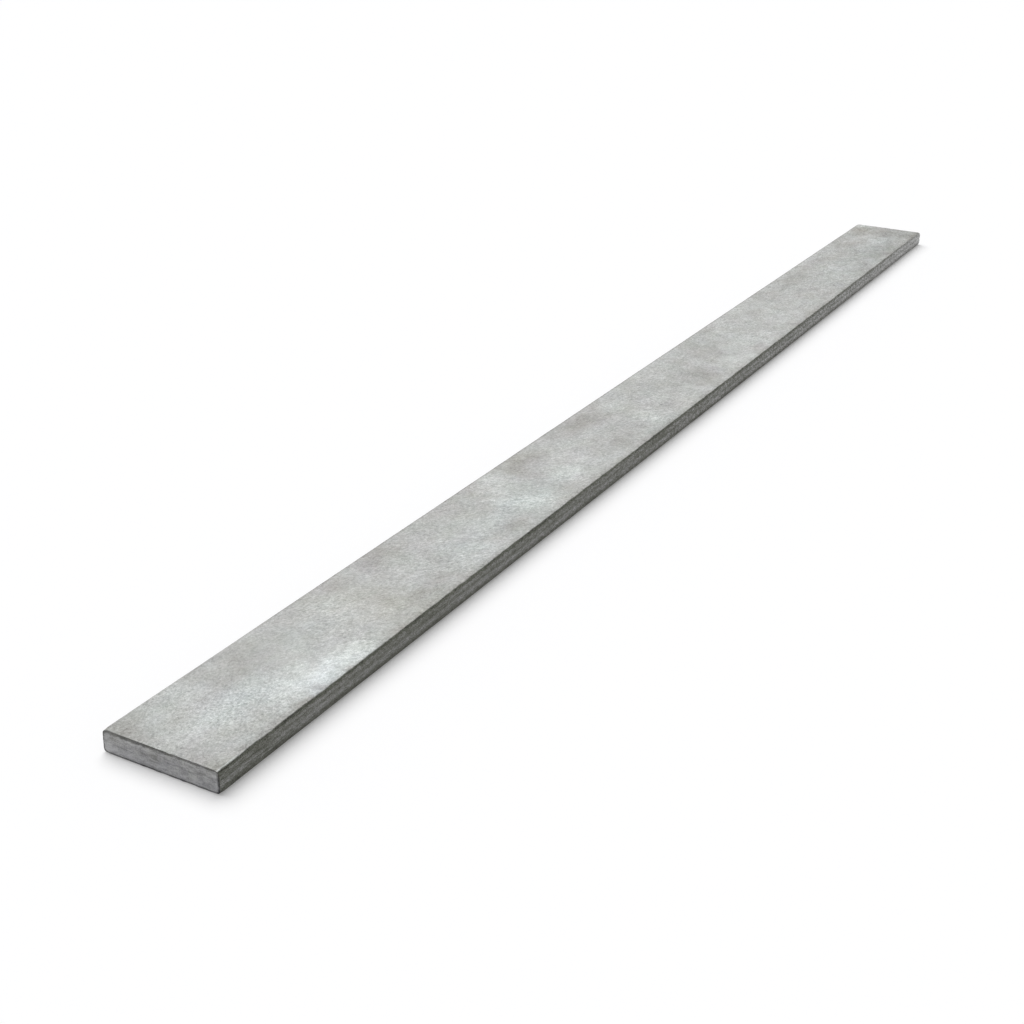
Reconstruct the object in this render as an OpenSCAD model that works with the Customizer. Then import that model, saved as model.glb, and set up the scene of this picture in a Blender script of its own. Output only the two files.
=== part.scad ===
// Hot rolled flat bar: one cut length of solid steel. Two flat rolled faces, two slightly
// crowned rolled edges, four rounded long corners and two sawn ends with their burr taken off.
// The bar lies flat: X runs along it, Y across it and Z through its thickness.
// The origin is the centre of its underside. All sizes are in millimetres.

/* [Bar] */
// Width across the crowns of the two rolled edges
bar_width = 45; // [20:1:150]
// Thickness between the two flat faces: a nominal 8 mm, on the full side of what rolling allows
bar_thickness = 8.4; // [5:0.1:25]
// Length between the two sawn ends
bar_length = 750; // [100:10:3000]

/* [Rolled section] */
// Radius of the two long corners at the upper face
upper_corner_radius = 1.6; // [0.8:0.1:2]
// Radius of the two long corners at the lower face
lower_corner_radius = 1.3; // [0.8:0.1:2]
// How far the arc of an edge stands out at half thickness, from where it meets the two faces
edge_crown = 0.2; // [0.1:0.05:0.5]

/* [Sawn ends] */
// Leg of the 45 degree break that deburring leaves around each end
end_break = 0.3; // [0.1:0.05:0.5]

/* [Hidden] */
$fn = 96;
steel = [0.52, 0.53, 0.52];
mid_height = bar_thickness / 2;
half_length = bar_length / 2;

// The crown is an arc through the widest point and through the planes of both faces.
crown_radius = (pow(mid_height, 2) + pow(edge_crown, 2)) / (2 * edge_crown);
crown_centre_y = bar_width / 2 - crown_radius;

// A corner arc stands this much proud of the face and of the crown that it blends. Its
// surface then crosses theirs at a clear line, where a true tangent would only touch them.
blend_overlap = 0.001;

// How far a cutting shape runs past the steel that it cuts
clear = 2;

// A round along the bar whose two ends have the same break as the bar's
module broken_round(radius) {
    rotate([0, 90, 0])
        rotate_extrude()
            polygon([
                [0, -half_length],
                [radius - end_break, -half_length],
                [radius, end_break - half_length],
                [radius, half_length - end_break],
                [radius - end_break, half_length],
                [0, half_length]
            ]);
}

// The two flat faces and the two sawn ends, with the break between them. It is wider than
// the bar, because the edges are cut from it.
module rolled_slab() {
    rotate([90, 0, 0])
        linear_extrude(height = bar_width + 2 * clear, center = true)
            polygon([
                [-half_length, end_break],
                [end_break - half_length, 0],
                [half_length - end_break, 0],
                [half_length, end_break],
                [half_length, bar_thickness - end_break],
                [half_length - end_break, bar_thickness],
                [end_break - half_length, bar_thickness],
                [-half_length, bar_thickness - end_break]
            ]);
}

// What lies outside the crown of the edge at +Y. The strip it is cut from starts far enough
// in for the crown's round to be thicker there than the bar.
module crown_waste() {
    strip = max(upper_corner_radius, lower_corner_radius);
    difference() {
        translate([-half_length - clear, bar_width / 2 - strip, -clear])
            cube([bar_length + 2 * clear, strip + 2 * clear, bar_thickness + 2 * clear]);
        translate([0, crown_centre_y, mid_height])
            broken_round(crown_radius);
    }
}

// What lies outside the rounded long corner at +Y of the upper face. The arc's centre is
// fixed by the face and the crown, and the waste runs from the one to the other.
module corner_waste(radius) {
    to_centre = crown_radius - radius;
    lean = asin((mid_height - radius) / to_centre);
    reach = 2 * radius + clear;
    translate([0, crown_centre_y + to_centre * cos(lean), bar_thickness - radius])
        difference() {
            rotate([90, 0, 90])
                linear_extrude(height = bar_length + 2 * clear, center = true)
                    polygon([
                        [0, 0],
                        [reach * cos(lean), reach * sin(lean)],
                        [reach, reach],
                        [0, reach]
                    ]);
            broken_round(radius + blend_overlap);
        }
}

// What the rolls leave off along the edge at +Y
module edge_waste() {
    crown_waste();
    corner_waste(upper_corner_radius);
    translate([0, 0, bar_thickness])
        mirror([0, 0, 1])
            corner_waste(lower_corner_radius);
}

module flat_bar() {
    color(steel)
        difference() {
            rolled_slab();
            edge_waste();
            mirror([0, 1, 0]) edge_waste();
        }
}

flat_bar();
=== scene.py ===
# %% [markdown]
# # Hot rolled flat bar
# This lesson dresses one length of hot rolled steel. The frame holds the bar as plain solid
# geometry at its real size. Here it gets a finer surface: slightly uneven rolled faces,
# streaked rolled edges and sawn ends, with the finishes that go with them.
# Everything is in metres, and the bar's own frame is the scene's frame: X runs along the
# bar, Y across it, and Z up from the floor it lies on.

# %% Load the frame
import math

import bpy
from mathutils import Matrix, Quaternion, Vector


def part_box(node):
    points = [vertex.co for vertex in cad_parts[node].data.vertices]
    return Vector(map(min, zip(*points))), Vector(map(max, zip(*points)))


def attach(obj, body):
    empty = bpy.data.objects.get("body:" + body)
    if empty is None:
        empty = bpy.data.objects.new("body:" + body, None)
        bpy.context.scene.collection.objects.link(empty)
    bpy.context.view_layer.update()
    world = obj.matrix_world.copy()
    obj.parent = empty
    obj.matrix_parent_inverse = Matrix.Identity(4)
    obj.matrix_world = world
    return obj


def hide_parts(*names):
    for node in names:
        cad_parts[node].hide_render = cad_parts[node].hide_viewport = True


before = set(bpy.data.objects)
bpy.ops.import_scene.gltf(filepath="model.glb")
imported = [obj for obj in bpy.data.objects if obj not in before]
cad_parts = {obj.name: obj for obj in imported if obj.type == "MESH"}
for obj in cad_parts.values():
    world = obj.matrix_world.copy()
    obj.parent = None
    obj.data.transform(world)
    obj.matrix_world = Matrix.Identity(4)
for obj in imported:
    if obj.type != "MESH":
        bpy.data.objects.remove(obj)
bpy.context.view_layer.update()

# %% [markdown]
# The outer sizes come from the frame. Only what a box can't say, the crown and the radii of
# the rolled section and the break of the ends, is stated again, in millimetres, because that
# is how a steel section is read. Two places closer together than a hundredth of a millimetre
# count as one, which the tests further on need.

# %% Sizes of the bar
MM = 0.001
same_place = 0.01 * MM
low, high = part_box("flat_bar")
length, width, thickness = high - low
mid_height = (low.z + high.z) / 2
crown = 0.2 * MM
upper_radius = 1.6 * MM
lower_radius = 1.3 * MM
end_break = 0.3 * MM
print(f"bar {length / MM:.1f} x {width / MM:.2f} x {thickness / MM:.2f} mm")

# %% [markdown]
# ## Camera
# The bar is long and thin, so it is seen from close to one end and from above, along a
# diagonal. The camera is placed by the point it looks at, its distance, and two angles.
# `to_track_quat` turns it to face that point, and a roll of about one degree follows, as in
# a camera that isn't held quite level.

# %% Camera near one end
aim = Vector((-0.16602, -0.00267, mid_height))
distance = 0.60908
azimuth, elevation, roll = math.radians(-61.4436), math.radians(24.5569), math.radians(1.2084)
back = Vector(
    (
        math.sin(azimuth) * math.cos(elevation),
        -math.cos(azimuth) * math.cos(elevation),
        math.sin(elevation),
    )
)
bpy.ops.object.select_all(action="DESELECT")
bpy.ops.object.camera_add(location=aim + back * distance)
camera = bpy.context.object
camera.name = "camera"
facing = (-back).to_track_quat("-Z", "Y")
camera.rotation_euler = (facing @ Quaternion((0, 0, 1), roll)).to_euler()
camera.data.sensor_width = 36
camera.data.lens = 52.893
bpy.context.scene.camera = camera
print("camera at", [round(value, 4) for value in camera.location])

# %% [markdown]
# ## Selecting by place
# With no mouse, a face or an edge is picked by where it is. This helper leaves edit mode on
# with only the picked parts selected, so the next operator acts on them and nothing else.
# The test gets an edge's two ends, a face's centre and normal, or a point's place.

# %% A helper that selects by place
def select_only(piece, kind, test):
    bpy.ops.object.mode_set(mode="EDIT")
    bpy.ops.mesh.select_mode(type=kind)
    bpy.ops.mesh.select_all(action="DESELECT")
    bpy.ops.object.mode_set(mode="OBJECT")
    mesh = piece.data
    if kind == "EDGE":
        parts = mesh.edges
        for edge in parts:
            first, second = edge.vertices
            edge.select = test(mesh.vertices[first].co, mesh.vertices[second].co)
    elif kind == "FACE":
        parts = mesh.polygons
        for face in parts:
            face.select = test(face.center, face.normal)
    else:
        parts = mesh.vertices
        for point in parts:
            point.select = test(point.co)
    count = sum(part.select for part in parts)
    bpy.ops.object.mode_set(mode="EDIT")
    return count


# %% [markdown]
# ## The rolled blank
# The rolls give the bar its section: two flats, two edges with a slight crown, and rounded
# long corners. A cube is added at the bar's size, less the crown, and its four long edges
# are beveled with the radii of the section. A curve swept along the bar would do as well,
# but the beveled cube keeps its faces in straight rows, which the next steps need.

# %% Add the blank and round its long corners
bpy.ops.object.select_all(action="DESELECT")
bpy.ops.mesh.primitive_cube_add(
    size=1, location=(0, 0, mid_height), scale=(length, width - 2 * crown, thickness)
)
bar = bpy.context.object
bar.name = "rolled_flat_bar"
bpy.ops.object.transform_apply(location=True, rotation=True, scale=True)


def is_long_edge(a, b, height):
    along = abs(a.x - b.x) > length / 2
    outermost = abs(abs(a.y) - (width / 2 - crown)) < same_place
    return along and outermost and abs(a.z - height) < same_place


for radius, height in ((upper_radius, high.z), (lower_radius, low.z)):
    picked = select_only(bar, "EDGE", lambda a, b: is_long_edge(a, b, height))
    bpy.ops.mesh.bevel(offset=radius, segments=6, profile=0.5, affect="EDGES")
    print("rounded", picked, "long edges to", round(radius / MM, 1), "mm")

# %% [markdown]
# The saw leaves a sharp rim on each end, and a file takes it off. That is a small bevel on
# the outline of both end faces, made before the faces are cut up.

# %% Break the rim of both sawn ends
def is_rim_edge(a, b):
    return abs(a.x - b.x) < same_place and abs(abs(a.x) - length / 2) < same_place


picked = select_only(bar, "EDGE", is_rim_edge)
bpy.ops.mesh.bevel(offset=end_break, segments=2, profile=0.5, affect="EDGES")
print("broke", picked, "rim edges")

# %% [markdown]
# ## Rows for the relief
# A displacement can only move points that are there. The long faces are cut across every
# two millimetres, in two goes, the flats get rows along them, and the narrow edges get fine
# rows, because the streaks that the rolls leave there run lengthwise and lie close together.

# %% Cut the blank into rows
def cut_edges(test, cuts):
    select_only(bar, "EDGE", test)
    bpy.ops.mesh.subdivide(number_cuts=cuts)


edge_cuts, face_cuts, long_cuts, again_cuts = 15, 29, 74, 4
first_step = length / (long_cuts + 1)
cut_edges(lambda a, b: abs(a.y - b.y) < same_place and abs(a.z - b.z) > thickness / 3, edge_cuts)
cut_edges(lambda a, b: abs(a.x - b.x) < same_place and abs(a.y - b.y) > width / 2, face_cuts)
cut_edges(lambda a, b: abs(a.x - b.x) > length / 2, long_cuts)
cut_edges(lambda a, b: abs(a.x - b.x) > first_step / 2, again_cuts)
bpy.ops.object.mode_set(mode="OBJECT")
print("the blank has", len(bar.data.polygons), "faces")

# %% [markdown]
# The crown of a rolled edge is pushed out by hand: the row at half thickness moves outward,
# and proportional editing carries its neighbours with it, less and less towards the corners.

# %% Crown both rolled edges
for side in (1, -1):
    select_only(
        bar,
        "VERT",
        lambda p: abs(p.z - mid_height) < thickness / 30 and p.y * side > width / 2 - 2 * crown,
    )
    bpy.ops.transform.translate(
        value=(0, side * crown, 0),
        use_proportional_edit=True,
        proportional_edit_falloff="SPHERE",
        proportional_size=thickness / 2,
    )
bpy.ops.object.mode_set(mode="OBJECT")
print("width over the crowns", round(bar.dimensions.y / MM, 2), "mm")

# %% [markdown]
# ## Names for the places on the bar
# Vertex groups say which points a modifier may move, and how far. The flats, the rolled
# edges with their corners, and the rims of the ends each get one.

# %% Vertex groups by place
def name_points(piece, name, test):
    bpy.ops.object.mode_set(mode="OBJECT")
    piece.vertex_groups.active_index = piece.vertex_groups.new(name=name).index
    count = select_only(piece, "VERT", test)
    bpy.ops.object.vertex_group_assign()
    bpy.ops.object.mode_set(mode="OBJECT")
    print("group", name, "has", count, "points")


flat_half = width / 2 - crown - upper_radius
name_points(bar, "upper_flat", lambda p: p.z > high.z - same_place and abs(p.y) < flat_half)
name_points(bar, "rolled_edges", lambda p: abs(p.y) > width / 2 - crown - upper_radius * 0.9)
name_points(
    bar,
    "rims",
    lambda p: length / 2 - 1.2 * end_break < abs(p.x)
    and (abs(p.y) > width / 2 - 1.5 * MM or abs(p.z - mid_height) > thickness / 2 - 0.5 * MM),
)
name_points(bar, "end_faces", lambda p: abs(p.x) > length / 2 - same_place)

# %% [markdown]
# ## Uneven surfaces
# Hot steel leaves the rolls a little uneven. A Displace modifier reads a soft cloud texture
# and moves each named point along its normal. The middle level is 1, so everything moves
# inward and the bar keeps its size. Streaks need a texture stretched along the bar, so the
# modifier reads it in the space of an empty that is longer than it is high. The modifier is
# applied and the empty removed, so nothing else has to go with the piece.

# %% Displace the named points
def roughen(piece, group, depth, grain, stretch=(1, 1, 1)):
    cloud = bpy.data.textures.new(group + "_relief", type="CLOUDS")
    cloud.noise_scale = 1.0
    cloud.noise_depth = 2
    bpy.ops.object.select_all(action="DESELECT")
    bpy.ops.object.empty_add()
    space = bpy.context.object
    space.scale = [grain * factor for factor in stretch]
    bpy.context.view_layer.update()
    bpy.ops.object.select_all(action="DESELECT")
    piece.select_set(True)
    bpy.context.view_layer.objects.active = piece
    relief = piece.modifiers.new(group + "_relief", "DISPLACE")
    relief.texture = cloud
    relief.texture_coords = "OBJECT"
    relief.texture_coords_object = space
    relief.vertex_group = group
    relief.strength = depth
    relief.mid_level = 1.0
    bpy.ops.object.modifier_apply(modifier=relief.name)
    bpy.data.objects.remove(space)
    bpy.data.textures.remove(cloud)
    print("roughened", group, "by up to", round(depth / MM, 3), "mm")


roughen(bar, "upper_flat", 0.05 * MM, 14 * MM)
roughen(bar, "rolled_edges", 0.10 * MM, 0.8 * MM, stretch=(40, 1, 1))
roughen(bar, "rolled_edges", 0.08 * MM, 5 * MM, stretch=(2.0, 1, 1))
roughen(bar, "rims", 0.30 * MM, 1.2 * MM)
roughen(bar, "end_faces", 0.05 * MM, 0.8 * MM, stretch=(1, 6, 1))

# %% [markdown]
# The rounded corners are made of narrow flat strips. Smooth shading turns them into one
# curve, and faces that meet at more than forty degrees, as at the rims, stay crisp.

# %% Smooth the rounded corners and keep the rims crisp
crisp_above = math.radians(40)
bpy.ops.object.shade_smooth_by_angle(angle=crisp_above)
print("size now", [round(value / MM, 2) for value in bar.dimensions], "mm")

# %% [markdown]
# ## Building a finish from nodes
# A finish is a small network of nodes. These helpers put a node in a material, set its
# values or link its inputs, and hand back the socket that the next node reads. Patterns read
# Object coordinates turned into millimetres, so a grain of 0.5 is half a millimetre. A noise
# may be stretched along each axis, and turned about Z by some degrees for marks that run
# aslant.

# %% Helpers that put nodes in a finish
def put(tree, kind, inputs=None, output=0, **settings):
    node = tree.nodes.new(kind)
    for name, value in settings.items():
        setattr(node, name, value)
    for name, value in (inputs or {}).items():
        if isinstance(value, bpy.types.NodeSocket):
            tree.links.new(value, node.inputs[name])
        else:
            node.inputs[name].default_value = value
    return node.outputs[output] if node.outputs else node


def calc(tree, operation, first, second=0.0, third=0.0):
    inputs = {0: first, 1: second, 2: third}
    return put(tree, "ShaderNodeMath", inputs, operation=operation)


def combine(tree, operation, first, second):
    return put(tree, "ShaderNodeVectorMath", {0: first, 1: second}, operation=operation)


def scale(tree, vector, amount):
    return put(tree, "ShaderNodeVectorMath", {0: vector, "Scale": amount}, operation="SCALE")


def measure(tree, vector):
    return put(tree, "ShaderNodeVectorMath", {0: vector}, output=1, operation="LENGTH")


def remap(tree, value, start, end, to_start=0.0, to_end=1.0):
    inputs = {0: value, 1: start, 2: end, 3: to_start, 4: to_end}
    return put(tree, "ShaderNodeMapRange", inputs, interpolation_type="SMOOTHSTEP")


def noise(tree, place, grain, stretch=(1, 1, 1), turn=0.0, detail=2.0, roughness=0.5, twist=0.0):
    inputs = {"Vector": place, "Scale": [grain * factor for factor in stretch]}
    inputs["Rotation"] = (0.0, 0.0, math.radians(turn))
    moved = put(tree, "ShaderNodeMapping", inputs, vector_type="TEXTURE")
    inputs = {"Vector": moved, "Scale": 1.0, "Detail": detail, "Roughness": roughness}
    inputs["Distortion"] = twist
    return put(tree, "ShaderNodeTexNoise", inputs)


# %% [markdown]
# Tones are easiest to think of as levels from 0, black, to 255, white, as in a paint
# program. Each pattern adds or takes away a few levels about its middle value, and at the
# end a colour ramp turns the level into the colour that the scale has at that tone. Each of
# the ramp's colours sits at the level of its own green. The ramp also holds the finer point
# that dark scale is a little warm and worn steel is cool.

# %% Helpers for tones and colours
def add_levels(tree, total, pattern, amount):
    centred = calc(tree, "SUBTRACT", pattern, 0.5)
    return calc(tree, "MULTIPLY_ADD", centred, amount, total)


def colour(red, green, blue):
    """A colour as a paint chart gives it, 0 to 255, turned into the linear values of nodes."""
    parts = [value / 255 for value in (red, green, blue)]
    linear = [v / 12.92 if v < 0.04045 else ((v + 0.055) / 1.055) ** 2.4 for v in parts]
    return (*linear, 1.0)


def colour_by_level(tree, level, stops):
    node = tree.nodes.new("ShaderNodeValToRGB")
    tree.links.new(calc(tree, "DIVIDE", level, 255.0), node.inputs[0])
    elements = node.color_ramp.elements
    while len(elements) < len(stops):
        elements.new(0.5)
    for element, (red, green, blue) in zip(elements, stops):
        element.position = green / 255
        element.color = colour(red, green, blue)
    return node.outputs[0]


def level_curve(tree, value, points):
    """Levels read off a curve that goes through the given points, from 0 to 1 along it."""
    node = tree.nodes.new("ShaderNodeFloatCurve")
    tree.links.new(value, node.inputs["Value"])
    curve = node.mapping.curves[0]
    while len(curve.points) < len(points):
        curve.points.new(0.5, 0.5)
    for point, (where, level) in zip(curve.points, points):
        point.location = (where, level / 255)
    node.mapping.update()
    return calc(tree, "MULTIPLY", node.outputs[0], 255.0)


def new_finish(name):
    finish = bpy.data.materials.new(name)
    finish.use_nodes = True
    tree = finish.node_tree
    tree.nodes.clear()
    space = put(tree, "ShaderNodeTexCoord", output="Object")
    place = put(tree, "ShaderNodeMapping", {"Vector": space, "Scale": [1 / MM] * 3})
    apart = put(tree, "ShaderNodeSeparateXYZ", {0: place}).node
    return finish, tree, place, apart.outputs


# %% [markdown]
# ## The rolled skin
# The whole skin is one finish, because on the real bar it is one layer of scale. On the
# flats it is a pale, matt grey, cloudy in soft patches a few centimetres wide, with a fine
# crazed grain where the scale has cracked. Noise textures of several sizes give the clouds,
# the blotches, the grain and the thin curved cracks. At the near end the grain is a plain
# speckle. From a few centimetres in it turns into short strokes that run aslant, as if the
# bar had been brushed, with faint curls among them.

# %% Flats: clouds, blotches, grain and cracks
skin, tree, place, (along, across, up) = new_finish("rolled_steel_skin")
clouds = noise(tree, place, 30, stretch=(1.4, 1, 1), detail=3, roughness=0.55)
blotches = noise(tree, place, 6, stretch=(1.3, 1, 1), detail=3, roughness=0.6)
speckle = noise(tree, place, 0.8, stretch=(1.2, 1, 1), detail=3, roughness=0.75, twist=0.6)
strokes = noise(tree, place, 0.8, stretch=(1.5, 0.9, 1), turn=-32, detail=3, roughness=0.75, twist=0.6)
brushed = remap(tree, along, -345.0, -285.0)
grain = calc(tree, "MULTIPLY_ADD", calc(tree, "SUBTRACT", strokes, speckle), brushed, speckle)
veins = noise(tree, place, 1.9, stretch=(1.2, 1, 1), detail=2, roughness=0.6, twist=1.2)
off_middle = calc(tree, "ABSOLUTE", calc(tree, "SUBTRACT", veins, 0.5))
cracks = remap(tree, off_middle, 0.0, 0.05, 1.0, 0.0)
curls = noise(tree, place, 2.6, stretch=(1.9, 0.8, 1), turn=-40, detail=2, roughness=0.5, twist=1.2)
print("patterns of the flats:", len(tree.nodes), "nodes")

# %% [markdown]
# Where this bar was handled and rubbed, the scale is paler and cooler, and where it lies
# thick it is darker. The big pale ovals on the front half of the flat by the near end are
# partly painted sheen as well, standing in for the lamp's sheen there. Each such place is a
# soft oval, given by its place along and across the bar, its half sizes, all in millimetres,
# and its levels. A slow noise shifts the ovals' outlines by a few millimetres, so that none
# of them looks drawn. An oval fades out at 1.6 times its half sizes. It is also only so deep
# that the underside hardly shows it.

# %% Flats: a soft oval with an uneven outline
middle_grey = (0.5, 0.5, 0.5)
wander_reach = 14.0
patch_depth = 7.0
fade_out = 1.6
wander = noise(tree, place, 9, detail=3, roughness=0.6).node.outputs["Color"]
shift = scale(tree, combine(tree, "SUBTRACT", wander, middle_grey), wander_reach)
uneven = combine(tree, "ADD", place, shift)


def patch(centre, size, amount):
    inputs = {"Vector": uneven}
    inputs["Location"] = (*centre, thickness / MM)
    inputs["Scale"] = (*size, patch_depth)
    moved = put(tree, "ShaderNodeMapping", inputs, vector_type="TEXTURE")
    return remap(tree, measure(tree, moved), 0.0, fade_out, amount, 0.0)


# %% Flats: worn, dark and painted sheen patches
# The large pale ovals on the front half by the near end are partly painted sheen.
worn_and_sheen_patches = (
    ((-371, 15), (8, 7), -22),
    ((-347, 14), (7, 9), 13),
    ((-361, 0), (6, 5), 9),
    ((-371, -15), (6, 9), -14),
    ((-351, -3), (9, 9), 17),
    ((-338, -11), (11, 9), 15),
    ((-320, 11), (25, 8), -12),
    ((-336, -1), (10, 7), 14),
    ((-322, -12), (14, 8), 37),
    ((-305, -17), (15, 6), 30),
    ((-293, -8), (9, 9), 7),
    ((-279, 5), (12, 12), 8),
    ((-261, 15), (9, 6), -13),
    ((-260, -3), (9, 11), -6),
    ((-272, -18), (14, 5), -9),
    ((-247, -15), (11, 5), -23),
    ((-233, 16), (12, 6), -16),
    ((-235, -5), (9, 7), 8),
    ((-217, 1), (8, 5), 8),
    ((-215, -13), (13, 6), 13),
    ((-196, -4), (8, 5), 8),
    ((-183, -4), (8, 6), 10),
    ((-183, -16), (8, 4), -18),
    ((-168, 0), (8, 8), 20),
    ((-159, -10), (9, 8), 18),
    ((-153, 14), (11, 8), 18),
    ((-128, -9), (9, 7), 18),
    ((-127, 14), (14, 6), -18),
    ((-111, -8), (8, 6), 7),
    ((-73, 15), (20, 7), -24),
    ((-84, -14), (11, 7), -22),
    ((-100, -12), (6, 4), -7),
    ((-46, -11), (10, 8), 24),
    ((-44, 10), (6, 5), 13),
    ((-25, -2), (12, 8), 14),
    ((19, -11), (13, 9), -23),
    ((14, 11), (12, 5), 6),
    ((60, 4), (17, 11), -18),
    ((92, -8), (14, 8), 11),
    ((100, 16), (12, 6), 12),
    ((138, 9), (9, 5), -7),
    ((130, -18), (28, 5), -10),
    ((185, -13), (10, 5), -6),
    ((210, -11), (12, 6), 12),
    ((214, 13), (20, 6), -15),
    ((257, -1), (13, 9), 8),
    ((262, -16), (18, 5), -18),
    ((306, -15), (25, 7), -27),
    ((309, -4), (6, 4), 6),
    ((314, 11), (12, 7), -15),
    ((333, -3), (7, 6), 5),
    ((354, 14), (12, 7), -18),
    ((359, -4), (12, 22), -33),
    ((357, -18), (16, 5), -16),
    ((370, 16), (5, 6), 22),
)
wear_and_sheen_level = patch(*worn_and_sheen_patches[0])
for row in worn_and_sheen_patches[1:]:
    wear_and_sheen_level = calc(tree, "ADD", wear_and_sheen_level, patch(*row))
print(len(worn_and_sheen_patches), "patches on the upper face")

# %% [markdown]
# The levels are summed in two parts. The coarse part sets the hue, through the ramp. It
# starts from a curve that falls a little towards the far end: painted sheen, as the flat by
# the near end is lighter where the lamp's sheen lies. The blotches grow stronger towards the
# far end.

# %% Flats: the coarse levels
distance_along = calc(tree, "MULTIPLY_ADD", along, MM / length, 0.5)
# Painted sheen: this curve is lighter by the near end and falls towards the far end.
tone_and_sheen_points = ((0.0, 185), (0.2, 182.5), (0.35, 181.3), (0.6, 180.5), (0.8, 179.2), (1.0, 174.6))
flat_level = calc(tree, "ADD", wear_and_sheen_level, level_curve(tree, distance_along, tone_and_sheen_points))
flat_level = add_levels(tree, flat_level, clouds, 55.0)
blotchy = add_levels(tree, 0.0, blotches, 34.0)
blotchier = remap(tree, along, -370.0, 420.0, 0.75, 1.9)
flat_level = calc(tree, "MULTIPLY_ADD", blotchy, blotchier, flat_level)
print("coarse levels of the flats:", len(tree.nodes), "nodes")

# %% [markdown]
# The grain, cracks and curls are too fine to have a hue of their own, so they are kept apart
# and only lighten or darken the colour. They show more strongly on the pale patches, where
# worn steel lies beside dark scale or painted sheen lies on it, and towards the far end.

# %% Flats: the fine levels
fine = add_levels(tree, calc(tree, "MULTIPLY", cracks, 15.0), grain, 129.0)
curled = calc(tree, "MULTIPLY", remap(tree, wear_and_sheen_level, -6.0, 14.0, 12.0, 48.0), brushed)
fine = add_levels(tree, fine, curls, curled)
wear = remap(tree, wear_and_sheen_level, -15.0, 30.0, 0.78, 1.45)
coarser = remap(tree, along, -200.0, 420.0, 1.0, 1.45)
fine = calc(tree, "MULTIPLY", calc(tree, "MULTIPLY", fine, wear), coarser)
print("fine levels of the flats:", len(tree.nodes), "nodes")

# %% [markdown]
# ## Rolled edges
# The edges never touch a flat roll, so their scale is thicker and darker, and part of that
# darkness is painted shade, as the front edge is turned away from the lamp. A curve over
# the height holds what the whole edge has in common: dark below the upper corner, paler bands
# above and below a dark line, and dark at the foot, which is painted shade where the edge
# curves under towards the floor. A slow sway keeps the bands from being ruled lines.

# %% Edges: bands of tone over the height
height_share = calc(tree, "DIVIDE", up, thickness / MM)
sway = noise(tree, place, 30, stretch=(3, 1, 1), detail=2)
height_share = add_levels(tree, height_share, sway, 0.12)
# Painted shade: the low levels of the first points darken the foot, by the floor.
band_points = (
    (0.0, 92),
    (0.2, 98),
    (0.33, 120),
    (0.47, 130),
    (0.64, 106),
    (0.78, 119),
    (0.86, 112),
    (0.93, 86),
    (1.0, 68),
)
edge_level = level_curve(tree, height_share, band_points)
print("an edge has", len(band_points), "points in its bands")

# %% [markdown]
# The scale on the edge is drawn out along the bar in long streaks and a few thin dark seams,
# which noise stretched twenty and thirty times along X gives. They are clearest near the
# sawn end that faces the camera.

# %% Edges: streaks and seams
edge_streaks = noise(tree, place, 0.7, stretch=(20, 3, 1), detail=3, roughness=0.6)
seam_noise = noise(tree, place, 1.2, stretch=(30, 3, 1), detail=2)
off_seam = calc(tree, "ABSOLUTE", calc(tree, "SUBTRACT", seam_noise, 0.5))
seams = remap(tree, off_seam, 0.0, 0.03, 1.0, 0.0)
streaking = add_levels(tree, calc(tree, "MULTIPLY", seams, -14.0), edge_streaks, 95.0)
near_end = remap(tree, along, -345.0, -290.0, 1.0, 0.4)
edge_level = calc(tree, "MULTIPLY_ADD", streaking, near_end, edge_level)
print("streaks and seams:", len(tree.nodes), "nodes")

# %% [markdown]
# Over the streaks lies pitting: small pits and blots, stronger from the middle of the bar on,
# and the finest grit. The grit is mostly round specks at the near end and mostly short dashes
# further on. Wide, faint clouds go over it all.

# %% Edges: pits, blots, grit and clouds
edge_pits = noise(tree, place, 0.8, stretch=(2.5, 1, 1), detail=3, roughness=0.75)
edge_blots = noise(tree, place, 2.0, stretch=(1.5, 1, 1), detail=2, roughness=0.6)
pitting = add_levels(tree, add_levels(tree, 0.0, edge_pits, 60.0), edge_blots, 50.0)
pitted = remap(tree, along, -80.0, 60.0, 1.0, 1.3)
edge_level = calc(tree, "MULTIPLY_ADD", pitting, pitted, edge_level)
edge_specks = noise(tree, place, 0.35, stretch=(1.3, 1, 1), detail=1)
specked = remap(tree, along, -360.0, 0.0, 120.0, 60.0)
edge_level = add_levels(tree, edge_level, edge_specks, specked)
edge_dashes = noise(tree, place, 0.48, stretch=(2.8, 1, 1), detail=1)
dashed = remap(tree, along, -360.0, 200.0, 50.0, 200.0)
edge_level = add_levels(tree, edge_level, edge_dashes, dashed)
edge_clouds = noise(tree, place, 12, stretch=(2, 1, 1), detail=3)
edge_level = add_levels(tree, edge_level, edge_clouds, 40.0)
print("pits, blots, grit and clouds:", len(tree.nodes), "nodes")

# %% [markdown]
# Towards the far end the edge is painted paler, a painted reflection that stands in for
# the brighter gloss it shows where it is seen at a grazing angle. Beyond mid-length the lower
# half stays darker. In the last ten centimetres the upper half is a little paler still, and so
# is the whole of the last centimetre. Dark scale leans to olive and pale scale is nearly
# neutral, which the ramp holds.

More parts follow.
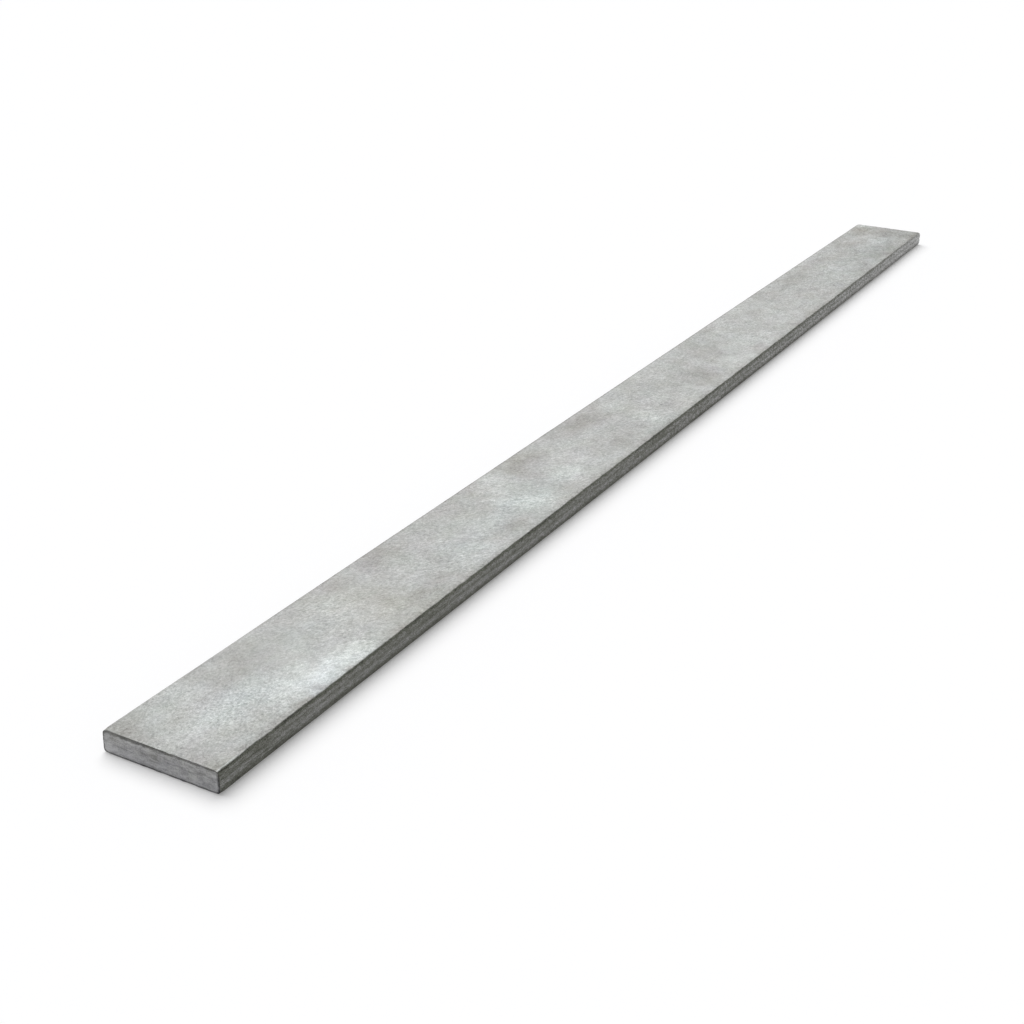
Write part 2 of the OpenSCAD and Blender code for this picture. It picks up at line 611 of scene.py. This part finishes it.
# %% Edges: from one end to the other, and their colour
# Painted reflection: the edge grows paler towards the far end.
painted_far_reflection = calc(tree, "POWER", calc(tree, "MAXIMUM", distance_along, 0.0), 2.8)
edge_level = calc(tree, "MULTIPLY_ADD", painted_far_reflection, 46.0, edge_level)
lower_half = remap(tree, up, 1.6, 4.6, -10.0, 0.0)
edge_level = calc(tree, "MULTIPLY_ADD", lower_half, remap(tree, along, -40.0, 60.0), edge_level)
upper_half = remap(tree, up, 3.5, 6.5, 0.0, 7.0)
edge_level = calc(tree, "MULTIPLY_ADD", upper_half, remap(tree, along, 280.0, 340.0), edge_level)
edge_level = calc(tree, "ADD", edge_level, remap(tree, along, 361.0, 367.0, 0.0, 3.0))
# Part of how dark these edge colours are is painted shade.
edge_stops = ((40, 40, 37), (100, 102, 92), (128, 128, 125), (161, 161, 160), (210, 211, 210))
edge_colour = colour_by_level(tree, edge_level, edge_stops)
print("edge colours from", edge_stops[0], "to", edge_stops[-1])

# %% [markdown]
# The pale flat and the dark edge meet on the rounded corner, in a line that wavers a little.

# %% Skin: where the flat ends and the edge begins
half_width = width / MM / 2
wobble = noise(tree, place, 3, stretch=(2, 1, 1), detail=4, roughness=0.7)
outward = add_levels(tree, calc(tree, "ABSOLUTE", across), wobble, 0.9)
near_reach, far_reach = 1.2, 1.5
reach_out = remap(tree, along, -375.0, -150.0, near_reach, far_reach)
on_edge = remap(tree, calc(tree, "ADD", outward, reach_out), half_width, half_width + 0.5)
starts = [round(half_width - reach, 1) for reach in (near_reach, far_reach)]
print("the edge's scale starts", starts, "mm from the middle, near and far")

# %% [markdown]
# Just inside that line the flat has margins of its own. By the near end the front corner
# carries a painted highlight, a thin bright line where the rounded corner catches the light.
# Elsewhere the front margin is a little darker, painted shade where the flat rounds over,
# except where a worn or sheen patch runs out over it, and the back one has a thin dark line
# of painted shade along its rounded corner. The scale also darkens in the last millimetres
# before each sawn end, on the far one everywhere but by the back corner.

# %% Skin: corners and margins of the flat
# Painted highlight: a thin bright line on the rounded front corner by the near end.
painted_corner_highlight = remap(tree, across, 1.45 - half_width, 1.2 - half_width)
painted_corner_highlight = calc(tree, "MULTIPLY", painted_corner_highlight, remap(tree, along, -375.0, -352.0, 34.0, 0.0))
# Painted shade along the front margin, where the flat rounds over into the corner.
front_margin_shade = remap(tree, across, 4.5 - half_width, 1.5 - half_width, 0.0, -12.0)
front_margin_shade = calc(tree, "MULTIPLY", front_margin_shade, remap(tree, wear_and_sheen_level, 4.0, 20.0, 1.0, -0.2))
# Painted shade: a thin dark line along the rounded back corner.
back_corner_shade = remap(tree, across, half_width - 2.4, half_width - 1.8, 0.0, -9.0)
near_margin = remap(tree, add_levels(tree, along, wobble, 4.0), -374.0, -368.0, -10.0, 0.0)
far_margin = remap(tree, add_levels(tree, along, wobble, 2.0), 367.5, 373.0, 0.0, -18.0)
far_margin = calc(tree, "MULTIPLY", far_margin, remap(tree, across, 13.0, 7.0))
corner_level = flat_level
margins = (painted_corner_highlight, front_margin_shade, back_corner_shade, near_margin, far_margin)
for margin in margins:
    corner_level = calc(tree, "ADD", corner_level, margin)
print(len(margins), "margins on the upper flat")

# %% [markdown]
# The coarse levels go through the ramp and become a colour. The fine levels are then added
# to red, green and blue alike. A ramp works in levels but a colour in linear light, so they
# are first turned into it: near the flats' tone, one level is a step of 0.006. A slow noise
# adds a faint drift of hue, of a level or so.

# %% Flats: from levels to a colour
flat_step = 0.006
hue_drift = 6.0
flat_stops = ((140, 138, 133), (168, 168, 165), (188, 190, 188), (206, 210, 208), (230, 235, 235))
flat_colour = colour_by_level(tree, corner_level, flat_stops)
neutral = put(tree, "ShaderNodeCombineXYZ", {name: fine for name in "XYZ"})
flat_colour = combine(tree, "ADD", flat_colour, scale(tree, neutral, flat_step))
tint = noise(tree, place, 11, stretch=(1.4, 1, 1), detail=3, roughness=0.6).node.outputs["Color"]
tint = scale(tree, combine(tree, "SUBTRACT", tint, middle_grey), hue_drift * flat_step)
flat_colour = combine(tree, "ADD", flat_colour, tint)
print("flat colours from", flat_stops[0], "to", flat_stops[-1])

# %% [markdown]
# Scale is never one grey. In some places it leans to olive, in others to blue or green, by a
# level or two. Each such place is an oval like the patches, with its own red, green and blue.

# %% Skin: places with a hue of their own
hues = (
    ((-366, 14), (10, 9), (0.0, 1.2, 0.0)),
    ((-342, -2), (15, 9), (-2.0, 0.0, 2.0)),
    ((-320, -17), (15, 6), (-1.8, 0.0, 1.8)),
    ((-265, -9), (16, 26), (1.9, 0.7, -1.7)),
    ((-250, 17), (60, 8), (0.2, -0.7, 0.0)),
    ((-212, -7), (15, 9), (-1.3, 0.0, 1.3)),
    ((-165, -5), (32, 9), (-1.9, 1.6, 1.3)),
    ((-145, 17), (32, 8), (1.1, -0.3, -1.1)),
    ((-100, 8), (30, 13), (0.4, -0.8, -0.2)),
    ((-60, -17), (15, 7), (-1.3, 0.8, 1.1)),
    ((300, -10), (95, 13), (-1.6, 0.8, 1.5)),
    ((360, 14), (16, 8), (1.0, 1.2, -1.0)),
)
for centre, size, levels in hues:
    lean = [level * flat_step for level in levels]
    lean = scale(tree, lean, patch(centre, size, 1.0))
    flat_colour = combine(tree, "ADD", flat_colour, lean)
by_place = {0: on_edge, 6: flat_colour, 7: edge_colour}
skin_colour = put(tree, "ShaderNodeMix", by_place, output=2, data_type="RGBA")
print(len(hues), "places with a hue of their own")

# %% [markdown]
# Scale is an oxide over metal, so the skin is half way to metallic: its reflections have
# some of its own grey in them. The bump comes from the same grain, cracks and streaks as the
# colour, so light and tone agree.

# %% Skin: gloss and relief
skin_rough = add_levels(tree, 0.5, grain, -0.5)
skin_rough = calc(tree, "MULTIPLY_ADD", on_edge, 0.12, skin_rough)
relief = calc(tree, "MULTIPLY_ADD", cracks, 0.3, grain)
edge_relief = calc(tree, "MULTIPLY", edge_streaks, on_edge)
relief = calc(tree, "MULTIPLY_ADD", edge_relief, 2.0, relief)
bumped = put(tree, "ShaderNodeBump", {"Distance": 0.06 * MM, "Height": relief})
look = {"Base Color": skin_colour, "Metallic": 0.55, "Roughness": skin_rough, "Normal": bumped}
surface = put(tree, "ShaderNodeBsdfPrincipled", look)
put(tree, "ShaderNodeOutputMaterial", {"Surface": surface})
print(skin.name, "has", len(tree.nodes), "nodes")

# %% [markdown]
# ## Sawn ends
# A saw leaves a clean grey face with fine marks across the bar's width and a mottle where
# the blade tore the steel. A curve over the height gives its slow change of tone, and four
# noises lie over it: the saw's marks, specks, the mottle and the wide clouds of torn steel.
# The lower back corner is a little paler than the rest.

# %% Sawn end: marks and mottle
sawn, tree, place, (along, across, up) = new_finish("sawn_end")
saw_marks = noise(tree, place, 0.5, stretch=(1, 9, 1), detail=3, roughness=0.6, twist=0.3)
mottle = noise(tree, place, 1.8, stretch=(1, 1.6, 0.8), detail=4, roughness=0.7)
specks = noise(tree, place, 0.45, detail=2, roughness=0.7)
torn = noise(tree, place, 8, detail=2)
end_points = ((0.0, 150), (0.3, 161), (0.5, 148), (0.78, 153), (1.0, 146))
end_level = level_curve(tree, calc(tree, "DIVIDE", up, thickness / MM), end_points)
for pattern, amount in ((saw_marks, 78.0), (specks, 72.0), (mottle, 118.0), (torn, 40.0)):
    end_level = add_levels(tree, end_level, pattern, amount)
corner_glow = calc(tree, "MULTIPLY", remap(tree, across, 6.0, 18.0), remap(tree, up, 5.0, 3.0))
end_level = calc(tree, "MULTIPLY_ADD", corner_glow, 14.0, end_level)
print("marks of the saw:", len(tree.nodes), "nodes")

# %% [markdown]
# The rim round the face is dark and ragged. Along the top it is torn scale; it goes by the
# depth below the upper face, and is wider towards the back. Along the sides and the foot it is
# partly torn scale and partly painted shade, and goes by the distance to the outline, which
# turns a round corner: inside a corner's square that is the corner's reach less the distance
# to the square's inner point. One noise shakes all of these distances, so that the rim stays
# ragged all round.

# %% Sawn end: the dark torn rim
corner_reach = 2.0
ragged = noise(tree, place, 3.0, stretch=(1, 1, 0.6), detail=4, roughness=0.65)
rim_width = calc(tree, "MULTIPLY_ADD", across, 0.016, 1.10)
below_top = add_levels(tree, calc(tree, "SUBTRACT", thickness / MM, up), ragged, 2.6)
below_top = calc(tree, "DIVIDE", below_top, rim_width)
top_rim = remap(tree, below_top, 0.55, 1.15, 1.0, 0.0)
outer = calc(tree, "SUBTRACT", half_width, calc(tree, "ABSOLUTE", across))
lower = calc(tree, "MINIMUM", up, corner_reach)
cut_y = calc(tree, "MAXIMUM", calc(tree, "SUBTRACT", corner_reach, outer), 0.0)
cut_z = calc(tree, "SUBTRACT", corner_reach, lower)
cut = measure(tree, put(tree, "ShaderNodeCombineXYZ", {"X": cut_y, "Y": cut_z}))
inward = add_levels(tree, calc(tree, "SUBTRACT", corner_reach, cut), ragged, 1.0)
# Along the sides and the foot this darkening is partly painted shade.
side_rim_and_shade = remap(tree, inward, 0.45, 1.0, 1.0, 0.0)
rim = calc(tree, "MAXIMUM", top_rim, side_rim_and_shade)
rim_depth = remap(tree, across, -20.0, -9.0, -42.0, -53.0)
end_level = calc(tree, "MULTIPLY_ADD", rim, rim_depth, end_level)
end_level = calc(tree, "MULTIPLY_ADD", side_rim_and_shade, -12.0, end_level)
print("rim:", len(tree.nodes), "nodes")

# %% [markdown]
# The front side of the face, on the right as it is seen, is darker again, and darkest of all
# at its foot: painted shade, as that side is turned away from the lamp and its foot lies by the floor.

# %% Sawn end: painted shade on the front side
from_front = calc(tree, "ADD", across, half_width)
# Painted shade along the front side and at its foot.
front_side_shade = remap(tree, add_levels(tree, from_front, ragged, 0.7), 0.66, 1.5, -48.0, 0.0)
from_foot = measure(tree, put(tree, "ShaderNodeCombineXYZ", {"X": from_front, "Y": up}))
front_foot_shade = remap(tree, add_levels(tree, from_foot, ragged, 0.8), 0.9, 2.3, -30.0, 0.0)
for darker in (front_side_shade, front_foot_shade):
    end_level = calc(tree, "ADD", end_level, darker)
print("front side:", len(tree.nodes), "nodes")

# %% [markdown]
# Freshly cut steel is neutral, but this face has tarnished: it leans to a warm olive above
# and to a cool violet below, in soft blots. One noise moves it to and fro between those two
# hues, so that no other hue turns up. At the tone of this face one level is a step of 0.0045
# in linear light. The face is a little more metallic than the skin, and smoother where the
# mottle is dark. The saw's marks give the bump.

# %% Sawn end: hue, gloss and relief
end_step = 0.0045
end_stops = ((50, 50, 46), (95, 95, 93), (135, 135, 135), (180, 180, 180))
end_colour = colour_by_level(tree, end_level, end_stops)
warmth = remap(tree, up, 1.0, 7.0, -1.4, 0.5)
warmth = add_levels(tree, warmth, noise(tree, place, 3.5, stretch=(1, 1.4, 1)), 6.0)
warm = [level * end_step for level in (0.6, 0.6, -0.6)]
end_colour = combine(tree, "ADD", end_colour, scale(tree, warm, warmth))
end_rough = remap(tree, mottle, 0.3, 0.7, 0.42, 0.58)
end_bump = put(tree, "ShaderNodeBump", {"Distance": 0.05 * MM, "Height": saw_marks})
look = {"Base Color": end_colour, "Metallic": 0.6, "Roughness": end_rough, "Normal": end_bump}
surface = put(tree, "ShaderNodeBsdfPrincipled", look)
put(tree, "ShaderNodeOutputMaterial", {"Surface": surface})
print(sawn.name, "has", len(tree.nodes), "nodes")

# %% [markdown]
# ## One piece with two finishes
# The skin is the bar's first finish and so covers it all. The faces of both ends, with those
# of the broken rim round them, are then picked by their place and get the sawn one.

# %% Give each place its finish
bar.data.materials.append(skin)
bar.data.materials.append(sawn)
bar.active_material_index = 1
count = select_only(bar, "FACE", lambda centre, normal: abs(centre.x) > length / 2 - 0.9 * end_break)
bpy.ops.object.material_slot_assign()
bpy.ops.object.mode_set(mode="OBJECT")
print("sawn end faces", count)

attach(bar, "root")
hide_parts("flat_bar")

# %% [markdown]
# ## Studio
# The floor is a wide white sheet. Its diffuse part takes the bar's soft shadow, and a little
# emission, only where the camera or a reflection sees it, lifts the open floor to white.
# The emission isn't seen by diffuse rays, so it puts no light on the bar. What the paper
# doesn't give back of the light, the emission adds, so the two come to about 1.

# %% Floor
paper_tone = 0.8
bpy.ops.object.select_all(action="DESELECT")
bpy.ops.mesh.primitive_plane_add(size=40, location=(0, 0, low.z))
floor = bpy.context.object
floor.name = "studio_floor"
paper = bpy.data.materials.new("white_paper")
paper.use_nodes = True
tree = paper.node_tree
tree.nodes.clear()


def seen_directly(tree):
    rays = put(tree, "ShaderNodeLightPath").node.outputs
    seen = calc(tree, "MAXIMUM", rays["Is Camera Ray"], rays["Is Glossy Ray"])
    return calc(tree, "MAXIMUM", seen, rays["Is Transmission Ray"])


matte = put(tree, "ShaderNodeBsdfDiffuse", {"Color": (paper_tone, paper_tone, paper_tone + 0.005, 1)})
glow_strength = calc(tree, "MULTIPLY", seen_directly(tree), 1.0 - paper_tone)
glow = put(tree, "ShaderNodeEmission", {"Color": (1, 1, 1, 1), "Strength": glow_strength})
both = put(tree, "ShaderNodeAddShader", {0: matte, 1: glow})
put(tree, "ShaderNodeOutputMaterial", {"Surface": both})
floor.data.materials.append(paper)
print("floor laid under the bar,", round(floor.dimensions.x), "m wide")

# %% [markdown]
# Two lights make the studio: a dim white sky all round, and one broad lamp high behind the
# bar, whose angle of sixty degrees makes the shadow's edge soft. Together they put a plain
# level of 1 on the floor, so a colour renders about as it is written. The lamp is left out
# of reflections, which keeps the upper face even from one end to the other.

# %% Sky and soft lamp
world = bpy.data.worlds.new("white_studio")
bpy.context.scene.world = world
world.use_nodes = True
tree = world.node_tree
tree.nodes.clear()
ambient = 0.3
strength = calc(tree, "MULTIPLY_ADD", seen_directly(tree), 1.0 - ambient, ambient)
sky = put(tree, "ShaderNodeBackground", {"Color": (1, 1, 1, 1), "Strength": strength})
put(tree, "ShaderNodeOutputWorld", {"Surface": sky})

toward_lamp = Vector((0.32, 0.46, 1.0)).normalized()
bpy.ops.object.select_all(action="DESELECT")
bpy.ops.object.light_add(type="SUN", location=toward_lamp * 2)
lamp = bpy.context.object
lamp.name = "soft_lamp"
lamp.rotation_euler = toward_lamp.to_track_quat("Z", "Y").to_euler()
lamp.data.energy = (1.0 - ambient) * math.pi / toward_lamp.z
lamp.data.angle = math.radians(60)
lamp.visible_glossy = False
print("sky", ambient, "and lamp", round(lamp.data.energy, 2))

# %% [markdown]
# The Standard view shows a colour as it is written, with no film look laid over it.

# %% View transform
bpy.context.scene.view_settings.view_transform = "Standard"
